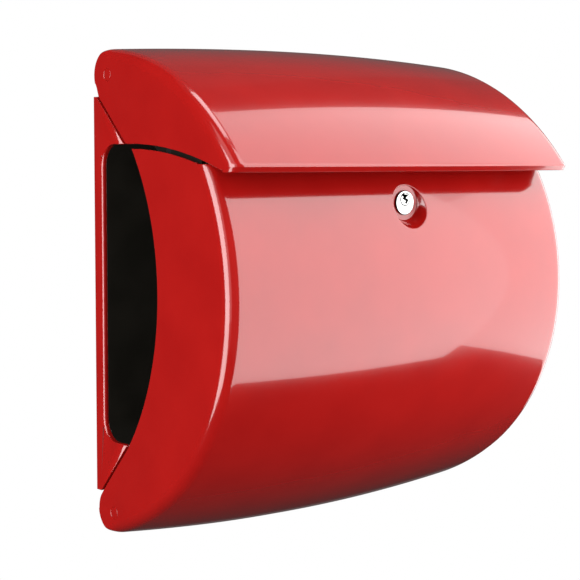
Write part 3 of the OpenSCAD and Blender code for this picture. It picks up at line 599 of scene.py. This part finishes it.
# The lowest part of the skin is drawn up a little, by the square of how far it reaches, to the box's own foot
low_room = 1.6 * mm
past_low = np.maximum(cad_size[0][2] + low_room - door_outer[..., 2], 0)
door_outer[..., 2] += past_low ** 2 * (past_low.max() - low_room) / past_low.max() ** 2
door_inner = bent_skin(door_rows, door_crown, skin_t)
door_heel_r = door_end_r - edge_min_r
heel_way = crescent_low - door_end_c
door_heel = angle_of(heel_way) + np.arccos(door_heel_r / np.hypot(*heel_way))
door_heel_p = door_end_c + door_heel_r * ray(door_heel)
crescent_top = under_edge(np.array([crescent_top_d]), door_top_r)[0]
crescent_run = np.hypot(*(crescent_top - crescent_low)) / 2
crescent_r = (crescent_run ** 2 + crescent_sink ** 2) / (2 * crescent_sink)
crescent_dir = (crescent_top - crescent_low) / (2 * crescent_run)
crescent_out = np.array([crescent_dir[1], -crescent_dir[0]])
crescent_c = (crescent_top + crescent_low) / 2 + crescent_out * (crescent_sink - crescent_r)
crescent_half = np.arcsin(crescent_run / crescent_r)
crescent_angles = angle_of(crescent_out) + np.linspace(-crescent_half, crescent_half, 73)[:-1]
door_chain = np.concatenate([
    door_end_c + door_heel_r * ray(np.linspace(-door_skin_end, door_heel - 2 * pi, 9)[1:-1]),
    line(door_heel_p, crescent_low), crescent_c + crescent_r * ray(crescent_angles),
    under_edge(np.linspace(crescent_top_d, door_top_d, 37)[:-1], door_top_r)])

# The lock's seat is turned about an axis that runs straight back
lock_z = 69 * mm
lock_sink = 6.3 * mm
seat_r = 13.5 * mm
flare = radians(26)
seat_t = 5 * mm
barrel_r = 8 * mm
boss_r = seat_r + 10 * mm
slack = 0.05 * mm
front_mid_r = door_arc_r + door_crown
lock_skin_d = door_c[0] + np.sqrt(front_mid_r ** 2 - lock_z ** 2)
seat_d = lock_skin_d - lock_sink


def front_depth(x, z, inset):
    """Depth of the door's front at a place, from the circle whose radius swells with the crown."""
    radius = door_arc_r + door_crown * (1 - (x / half_w) ** 2) - inset
    return door_c[0] + np.sqrt(radius ** 2 - z ** 2)


block_half = 28 * mm
middle = door_outer.shape[1] // 2
seat_columns = np.abs(door_outer[0, :, 0]) < block_half
seat_rows = np.abs(door_outer[:, middle, 2] - lock_z) < block_half
row_a, row_b = np.flatnonzero(seat_rows)[[0, -1]]
col_a, col_b = np.flatnonzero(seat_columns)[[0, -1]]
open_cells = np.zeros((door_outer.shape[0] - 1, door_outer.shape[1] - 1), bool)
open_cells[row_a:row_b, col_a:col_b] = True
door_mould = Mould()
outer_numbers, inner_numbers = moulding(door_mould, door_outer, door_inner, door_chain, door_pin,
                                        ~open_cells, ~open_cells)


def block_loop(grid):
    """The loop of points round the cells that were left open for the seat."""
    return np.concatenate([grid[row_a, col_a:col_b], grid[row_a:row_b, col_b], grid[row_b, col_b:col_a:-1],
                           grid[row_b:row_a:-1, col_a]])


outer_loop = block_loop(door_outer)
inner_loop = block_loop(door_inner)
seat_angle = np.arctan2(outer_loop[:, 2] - lock_z, outer_loop[:, 0])


def seat_ring(radius, depth):
    """A ring about the lock's axis, at a radius and a depth from the wall that may vary round it."""
    return np.stack([radius * np.cos(seat_angle), -depth + 0 * seat_angle,
                     lock_z + radius * np.sin(seat_angle)], 1)


def over_front(points, inset):
    """The same places, moved onto the door's front."""
    moved = points.copy()
    moved[:, 1] = -front_depth(points[:, 0], points[:, 2], inset)
    return moved


flare_r = np.full(seat_angle.shape, seat_r)
for _ in range(40):
    hit = front_depth(flare_r * np.cos(seat_angle), lock_z + flare_r * np.sin(seat_angle), 0)
    flare_r = 0.5 * flare_r + 0.5 * (seat_r + (hit - seat_d) * np.tan(flare))
flare_edge = over_front(seat_ring(flare_r, 0), 0)
rounding = 0.9 * mm
above = over_front(seat_ring(flare_r + rounding, 0), 0)
below_r = np.maximum(flare_r - rounding * sin(flare), seat_r + 0.05 * mm)
below = seat_ring(below_r, seat_d + (below_r - seat_r) / np.tan(flare))
seat_loops = [block_loop(outer_numbers)]
for part in (0.25, 0.5, 0.75):
    seat_loops.append(door_mould.add(over_front(outer_loop + part * (above - outer_loop), 0)))
for t in np.linspace(0, 1, 7):
    seat_loops.append(door_mould.add((1 - t) ** 2 * above + 2 * t * (1 - t) * flare_edge + t * t * below))
for t in (0.35, 0.7):
    seat_loops.append(door_mould.add(below + t * (seat_ring(seat_r, seat_d) - below)))
seat_loops.append(door_mould.add(seat_ring(seat_r + 0.1 * mm, seat_d + 0.12 * mm)))
seat_loops.append(door_mould.add(seat_ring(seat_r - 0.2 * mm, seat_d)))
for radius in np.linspace(seat_r - 0.8 * mm, barrel_r + 0.3 * mm, 4):
    seat_loops.append(door_mould.add(seat_ring(radius, seat_d)))
seat_loops.append(door_mould.add(seat_ring(barrel_r + slack, seat_d - 0.25 * mm)))
seat_loops.append(door_mould.add(seat_ring(barrel_r + slack, seat_d - seat_t + 0.2 * mm)))
for radius in (barrel_r + 0.2 * mm, 12 * mm, 16 * mm, 20 * mm, boss_r - 0.3 * mm):
    places = seat_ring(radius, 0)
    sunk = np.minimum(seat_d - seat_t, front_depth(places[:, 0], places[:, 2], skin_t) - 0.01 * mm)
    seat_loops.append(door_mould.add(seat_ring(radius, sunk)))
places = seat_ring(boss_r, 0)
skin_d = front_depth(places[:, 0], places[:, 2], skin_t)
boss_edge_d = np.minimum(seat_d - seat_t + 0.3 * mm, skin_d - 0.005 * mm)
seat_loops.append(door_mould.add(seat_ring(boss_r, boss_edge_d)))
foot = seat_ring(boss_r, skin_d)
seat_loops.append(door_mould.add(foot))
for part in (0.35, 0.7):
    seat_loops.append(door_mould.add(over_front(foot + part * (inner_loop - foot), skin_t)))
seat_loops.append(block_loop(inner_numbers))
door_mould.rings(seat_loops)
door = door_mould.piece("door_moulding", red, "door", "door")

# The rear housing is a third red moulding, the back plate with a side at each end. An opening is cut through
# its sides, for the tube. Its rim is well rounded on the outside, and less so out on the thin arms.


def eased_copy(name, node, material, body, width):
    """A copy of a node's solid with its flat faces joined up and its edges rounded by a bevel."""
    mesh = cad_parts[node].data.copy()
    mesh.name = name
    solid = bmesh.new()
    solid.from_mesh(mesh)
    bmesh.ops.remove_doubles(solid, verts=solid.verts, dist=0.001 * mm)
    bmesh.ops.dissolve_limit(solid, angle_limit=radians(0.5), verts=solid.verts, edges=solid.edges)
    solid.to_mesh(mesh)
    solid.free()
    mesh.materials.clear()
    mesh.materials.append(material)
    mesh.shade_smooth()
    made = bpy.data.objects.new(name, mesh)
    bpy.context.scene.collection.objects.link(made)
    bevel = made.modifiers.new("edges", "BEVEL")
    bevel.width = width
    bevel.segments = 4
    bevel.limit_method = "ANGLE"
    bevel.angle_limit = radians(40)
    bevel.harden_normals = True
    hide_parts(node)
    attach(made, body)
    return made


tube_back_d = 12 * mm
tube_top_z = 114.2 * mm
tube_low_z = -118 * mm
tube_r = 17 * mm
rim_full_r = 3 * mm
rim_least = 0.12
rim_fade_d = 14 * mm
rim_fade_run = 7 * mm
tips_d = 38 * mm
sharp = radians(35)
near = 0.02 * mm


def on_opening(point):
    """Whether a point lies on the edge of the side opening, on the outside of the housing."""
    d = -point[1]
    z = point[2]
    if abs(abs(point[0]) - half_w) > near:
        return False
    mid_z = (tube_top_z + tube_low_z) / 2
    reach_z = (tube_top_z - tube_low_z) / 2
    over = abs(z - mid_z) - (reach_z - tube_r)
    if d > tube_back_d + tube_r:
        return abs(over - tube_r) < near
    if over < 0:
        return abs(d - tube_back_d) < near
    return abs(np.hypot(d - tube_back_d - tube_r, over) - tube_r) < 2.5 * near


housing = eased_copy("housing_moulding", "rear_housing", red, "housing", rim_full_r)
rims = bmesh.new()
rims.from_mesh(housing.data)
bmesh.ops.remove_doubles(rims, verts=rims.verts, dist=near)
weight = rims.edges.layers.float.new("bevel_weight_edge")
for edge in rims.edges:
    if edge.calc_face_angle(0) > sharp:
        edge[weight] = rim_least * (min(-v.co[1] for v in edge.verts) < tips_d)
        if all(on_opening(v.co) for v in edge.verts):
            past = max(-sum(v.co[1] for v in edge.verts) / 2 - rim_fade_d, 0) / rim_fade_run
            edge[weight] = max(1 - past, edge[weight])
rims.to_mesh(housing.data)
rims.free()
housing.modifiers["edges"].limit_method = "WEIGHT"
housing.modifiers["edges"].segments = 6
housing.modifiers["edges"].use_clamp_overlap = False

# The tube runs from side to side behind the letter space. It is extruded in black plastic with a fine matt
# grain, and its ends stop against the sides of the housing.


def matt_black():
    """Black plastic with the fine spark-eroded grain of mouldings that are hardly seen, and a little dust."""
    material, wires, shader, where = pattern_of("black_plastic")
    dust = cloud(wires, where, 30, 6)
    mottle(wires, shader, dust, (0.006, 0.005, 0.003), (0.011, 0.009, 0.006), 0.35, 0.75)
    vary_gloss(wires, shader, dust, 0.55, 0.7)
    relief(wires, shader, cloud(wires, where, 1400, 3), 0.35, 0.06 * mm)
    shader.inputs["Specular IOR Level"].default_value = 0.2
    return material


black = matt_black()
eased_copy("newspaper_tube_wall", "newspaper_tube", black, "housing", 0.5 * mm)

# The black side plates, inlet frame and letter tray are plain mouldings behind the red shells, screwed to
# each other and to the housing. Only their edges show round the openings.


def dress(material, *nodes):
    """Gives whole nodes one material."""
    for node in nodes:
        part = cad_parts[node]
        part.data.materials.clear()
        part.data.materials.append(material)


dress(black, "side_plate_left", "side_plate_right", "inlet_frame", "letter_tray")

# Four red hinge pins are pushed through the cheeks into the eyes of the side plates. Each is turned, with a
# flat head whose edge is eased.


def turned_across(mould, profile, place, steps=64):
    """A closed solid turned about an axis along X. The profile is a run of places on the axis and radii."""
    around = np.linspace(0, 2 * pi, steps, endpoint=False)
    along, radius = np.array(profile, float).T
    ring = np.stack([np.broadcast_to(along[:, None], (len(along), steps)),
                     place[0] + radius[:, None] * np.cos(around),
                     place[1] + radius[:, None] * np.sin(around)], -1)
    numbers = mould.add(ring)
    mould.rings(numbers)
    mould.faces.append(numbers[0].tolist())
    mould.faces.append(numbers[-1][::-1].tolist())


pin_head_r = 4.5 * mm
pin_shank_r = 3.5 * mm
pin_face_x = half_w - 0.2 * mm
plate_x = half_w - skin_t - 1 * mm
eye_len = 11 * mm
pin_end_x = plate_x - eye_len
pin_form = np.array([[pin_end_x, pin_shank_r - 0.6 * mm], [pin_end_x + 0.6 * mm, pin_shank_r],
                     [plate_x, pin_shank_r], [plate_x, pin_head_r], [pin_face_x - 0.45 * mm, pin_head_r],
                     [pin_face_x - 0.13 * mm, pin_head_r - 0.13 * mm],
                     [pin_face_x - 0.03 * mm, pin_head_r - 0.4 * mm],
                     [pin_face_x, pin_head_r - 0.8 * mm], [pin_face_x, 0.5 * mm]])
for side, word in ((-1, "left"), (1, "right")):
    for centre, hinge in ((lid_pin, "lid"), (door_pin, "door")):
        pin_mould = Mould()
        turned_across(pin_mould, pin_form * np.array([side, 1]), (-centre[0], centre[1]))
        pin = pin_mould.piece(f"{hinge}_hinge_{word}", red, "housing", f"{hinge}_pin_{word}")


# The cam lock has a nickel-plated body with a flat round face, lightly turned, on a barrel that goes through
# the door. The bore for the plug sits above the face's centre, with a narrow groove round it.
lock_face_r = 9.5 * mm
lock_face_t = 1.6 * mm
lock_face_d = seat_d + lock_face_t
barrel_end_d = 141.2 * mm
painted_shade_rim = 0.75 * mm
groove_w = 0.8 * mm
plug_r = 4.5 * mm
plug_up = 2.7 * mm
plug_z = lock_z + plug_up
lock_edges = 96


def bright_nickel():
    """Bright nickel plate over a turned face: rings about the lock's axis and a little haze in the gloss."""
    material, wires, shader, where = pattern_of("bright_nickel")
    centre = wires.nodes.new("ShaderNodeMapping")
    centre.inputs["Location"].default_value = (0, 0, -lock_z)
    wires.links.new(where, centre.inputs["Vector"])
    rings = wires.nodes.new("ShaderNodeTexWave")
    rings.wave_type = "RINGS"
    rings.rings_direction = "Y"
    rings.inputs["Scale"].default_value = 900
    rings.inputs["Distortion"].default_value = 1.5
    wires.links.new(centre.outputs["Vector"], rings.inputs["Vector"])
    vary_gloss(wires, shader, cloud(wires, where, 300), 0.16, 0.3)
    relief(wires, shader, rings.outputs["Fac"], 0.42, 0.02 * mm)
    shader.inputs["Base Color"].default_value = (0.7, 0.7, 0.69, 1)
    shader.inputs["Metallic"].default_value = 1
    return material


def painted_shade_nickel():
    """Nickel painted dark, as a painted shade for the shade down in the lock's gaps and along its foot."""
    material, wires, shader, where = pattern_of("painted_shade_nickel")
    mottle(wires, shader, cloud(wires, where, 900, 4), (0.010, 0.009, 0.009), (0.05, 0.045, 0.045))
    shader.inputs["Metallic"].default_value = 0.6
    shader.inputs["Roughness"].default_value = 0.5
    return material


def turned_back(mould, profile, height):
    """Rings turned about an axis along Y at a height. The profile is a run of depths and radii."""
    around = np.linspace(0, 2 * pi, lock_edges, endpoint=False)
    depth, radius = np.array(profile, float).T
    ring = np.stack([radius[:, None] * np.cos(around),
                     np.broadcast_to(-depth[:, None], (len(depth), lock_edges)),
                     height + radius[:, None] * np.sin(around)], -1)
    return mould.add(ring)


def paint_shade(piece, is_shaded):
    """Gives the faces whose centres, as x, depth and height, pass the test the piece's second material, its
    painted shade.
    """
    faces = piece.data.polygons
    centres = np.empty(3 * len(faces), np.float32)
    faces.foreach_get("center", centres)
    x, y, z = centres.reshape(-1, 3).T
    faces.foreach_set("material_index", is_shaded(x, -y, z).astype(np.int32))


bright = bright_nickel()
painted_shade = painted_shade_nickel()
body_form = [[barrel_end_d, 5.2 * mm], [barrel_end_d, barrel_r - 0.3 * mm],
             [barrel_end_d + 0.3 * mm, barrel_r], [seat_d - 0.1 * mm, barrel_r],
             [seat_d + 0.02 * mm, barrel_r + 0.3 * mm],
             [seat_d + 0.05 * mm, lock_face_r - 0.6 * mm], [seat_d + 0.5 * mm, lock_face_r - 0.25 * mm],
             [lock_face_d - 0.4 * mm, lock_face_r], [lock_face_d - 0.2 * mm, lock_face_r - 0.2 * mm],
             [lock_face_d - 0.04 * mm, lock_face_r - 0.6 * mm], [lock_face_d, lock_face_r - 1 * mm]]
bore_form = [[lock_face_d, plug_r + 0.9 * mm], [lock_face_d, plug_r + 0.75 * mm],
             [lock_face_d - 0.15 * mm, plug_r + 0.7 * mm], [lock_face_d - 1.2 * mm, plug_r + 0.6 * mm],
             [barrel_end_d, plug_r + 0.25 * mm]]
body_mould = Mould()
body_rings = turned_back(body_mould, body_form, lock_z)
bore_rings = turned_back(body_mould, bore_form, plug_z)
body_mould.rings(np.concatenate([body_rings, bore_rings, body_rings[:1]]))
lock_body = body_mould.piece("lock_body_plated", bright, "door", "lock_body")
lock_body.data.materials.append(painted_shade)
# Painted shade: the rim of the face, the groove round the plug's bore and the sunk wall and barrel are
# painted dark for the shade in these gaps
paint_shade(lock_body, lambda x, d, z: (np.hypot(x, z - lock_z) > lock_face_r - painted_shade_rim)
       | (np.hypot(x, z - plug_z) < plug_r + groove_w) | (d < lock_face_d - 0.45 * mm))

# The plug turns in the body, and its square tail carries the cam. Its keyway is warded, so that it zigzags
# down the face, and its inside gets the painted shade of the lock's gaps.
tail_w = 5.5 * mm
tail_len = 1.8 * mm
tail_sink = 0.5 * mm
cam_front_d = 140.12 * mm
keyway_w = 2.1 * mm
keyway_deep = 5 * mm
plug_proud = 0.3 * mm
plug_face_d = lock_face_d + plug_proud
keyway_line = np.array([[-3.2, 3.2], [0.8, 2.7], [-1.6, 0.8], [1.9, -0.9], [0.2, -3.2]]) * mm


def ribbon(path, width):
    """The outline of a band along a path: the path moved half the width to each side, mitred at its bends."""
    steps = np.diff(path, axis=0)
    across = np.stack([-steps[:, 1], steps[:, 0]], 1) / np.linalg.norm(steps, axis=1)[:, None]
    mitre = np.concatenate([across[:1], across[:-1] + across[1:], across[-1:]])
    mitre[1:-1] /= 1 + np.sum(across[:-1] * across[1:], 1)[:, None]
    return np.concatenate([path + mitre * width / 2, (path - mitre * width / 2)[::-1]])


def column(mould, outline, back_d, front_d):
    """A straight column with an outline in x and height, between two depths."""
    ends = [mould.add(np.stack([outline[:, 0], np.full(len(outline), -depth), outline[:, 1]], 1))
            for depth in (back_d, front_d)]
    mould.rings(ends)
    mould.faces += [ends[0].tolist(), ends[1][::-1].tolist()]


plug_form = [[cam_front_d, plug_r - 0.2 * mm], [cam_front_d + 0.3 * mm, plug_r],
             [plug_face_d - 0.25 * mm, plug_r], [plug_face_d - 0.06 * mm, plug_r - 0.08 * mm],
             [plug_face_d, plug_r - 0.3 * mm]]
plug_mould = Mould()
plug_rings = turned_back(plug_mould, plug_form, plug_z)
plug_mould.rings(plug_rings)
plug_mould.faces += [plug_rings[0].tolist(), plug_rings[-1].tolist()]
tail_corners = np.array([[-1, -1], [1, -1], [1, 1], [-1, 1]]) * tail_w / 2 + np.array([0, plug_z])
column(plug_mould, tail_corners, cam_front_d - tail_len, cam_front_d + tail_sink)
plug = plug_mould.piece("lock_plug_plated", bright, "lock", "lock_plug")
plug.data.materials.append(painted_shade)
slot_mould = Mould()
column(slot_mould, ribbon(keyway_line, keyway_w) + np.array([0, plug_z]), plug_face_d - keyway_deep,
       plug_face_d + 1 * mm)
slot_mesh = bpy.data.meshes.new("keyway_slot")
slot_mesh.from_pydata(np.concatenate(slot_mould.points).tolist(), [], slot_mould.faces)
slot_form = bmesh.new()
slot_form.from_mesh(slot_mesh)
bmesh.ops.recalc_face_normals(slot_form, faces=slot_form.faces)
slot_form.to_mesh(slot_mesh)
slot_form.free()
slot = bpy.data.objects.new("keyway_slot", slot_mesh)
bpy.context.scene.collection.objects.link(slot)
keyway = plug.modifiers.new("keyway", "BOOLEAN")
keyway.object = slot
keyway.solver = "EXACT"
bpy.context.view_layer.update()
slotted = bpy.data.meshes.new_from_object(plug.evaluated_get(bpy.context.evaluated_depsgraph_get()))
plug.modifiers.remove(keyway)
bpy.data.objects.remove(slot)
plug.data = slotted
# Painted shade inside the keyway and down the plug's sides
paint_shade(plug, lambda x, d, z: d < plug_face_d - 0.3 * mm)
plug.data.set_sharp_from_angle(angle=radians(40))

# The clip, cam, keeper plate and most screws are zinc-plated steel, with the faint bluish mottling of bright
# zinc. The clip is pushed onto the barrel behind the door, and the keeper is screwed to the rail.


def bright_zinc():
    """Zinc plate whose colour and gloss vary in the same small spangles."""
    material, wires, shader, where = pattern_of("zinc_steel")
    spangle = cloud(wires, where, 180, 5)
    mottle(wires, shader, spangle, (0.50, 0.52, 0.55), (0.66, 0.67, 0.66))
    vary_gloss(wires, shader, spangle, 0.28, 0.45)
    shader.inputs["Metallic"].default_value = 1
    return material


dress(bright_zinc(), "lock_clip", "lock_cam", "cam_screw", "keeper_plate", "keeper_screws", "chassis_screws")

# The screws that hold the frame and the tray between the side plates get the painted shade of the lock's
# gaps, because they show where the cheeks part, where there is only shade.
dress(painted_shade, "side_screws_left", "side_screws_right")

# Small rubber buffers on the inlet frame quieten the lid and the door. Each is pushed into a hole by its peg,
# and the lid's have round tips.


def soft_rubber():
    """Black rubber with a faint grey bloom."""
    material, wires, shader, where = pattern_of("buffer_rubber")
    mottle(wires, shader, cloud(wires, where, 400), (0.012, 0.012, 0.012), (0.03, 0.03, 0.03))
    shader.inputs["Roughness"].default_value = 0.75
    return material


dress(soft_rubber(), "lid_buffers", "door_buffers")
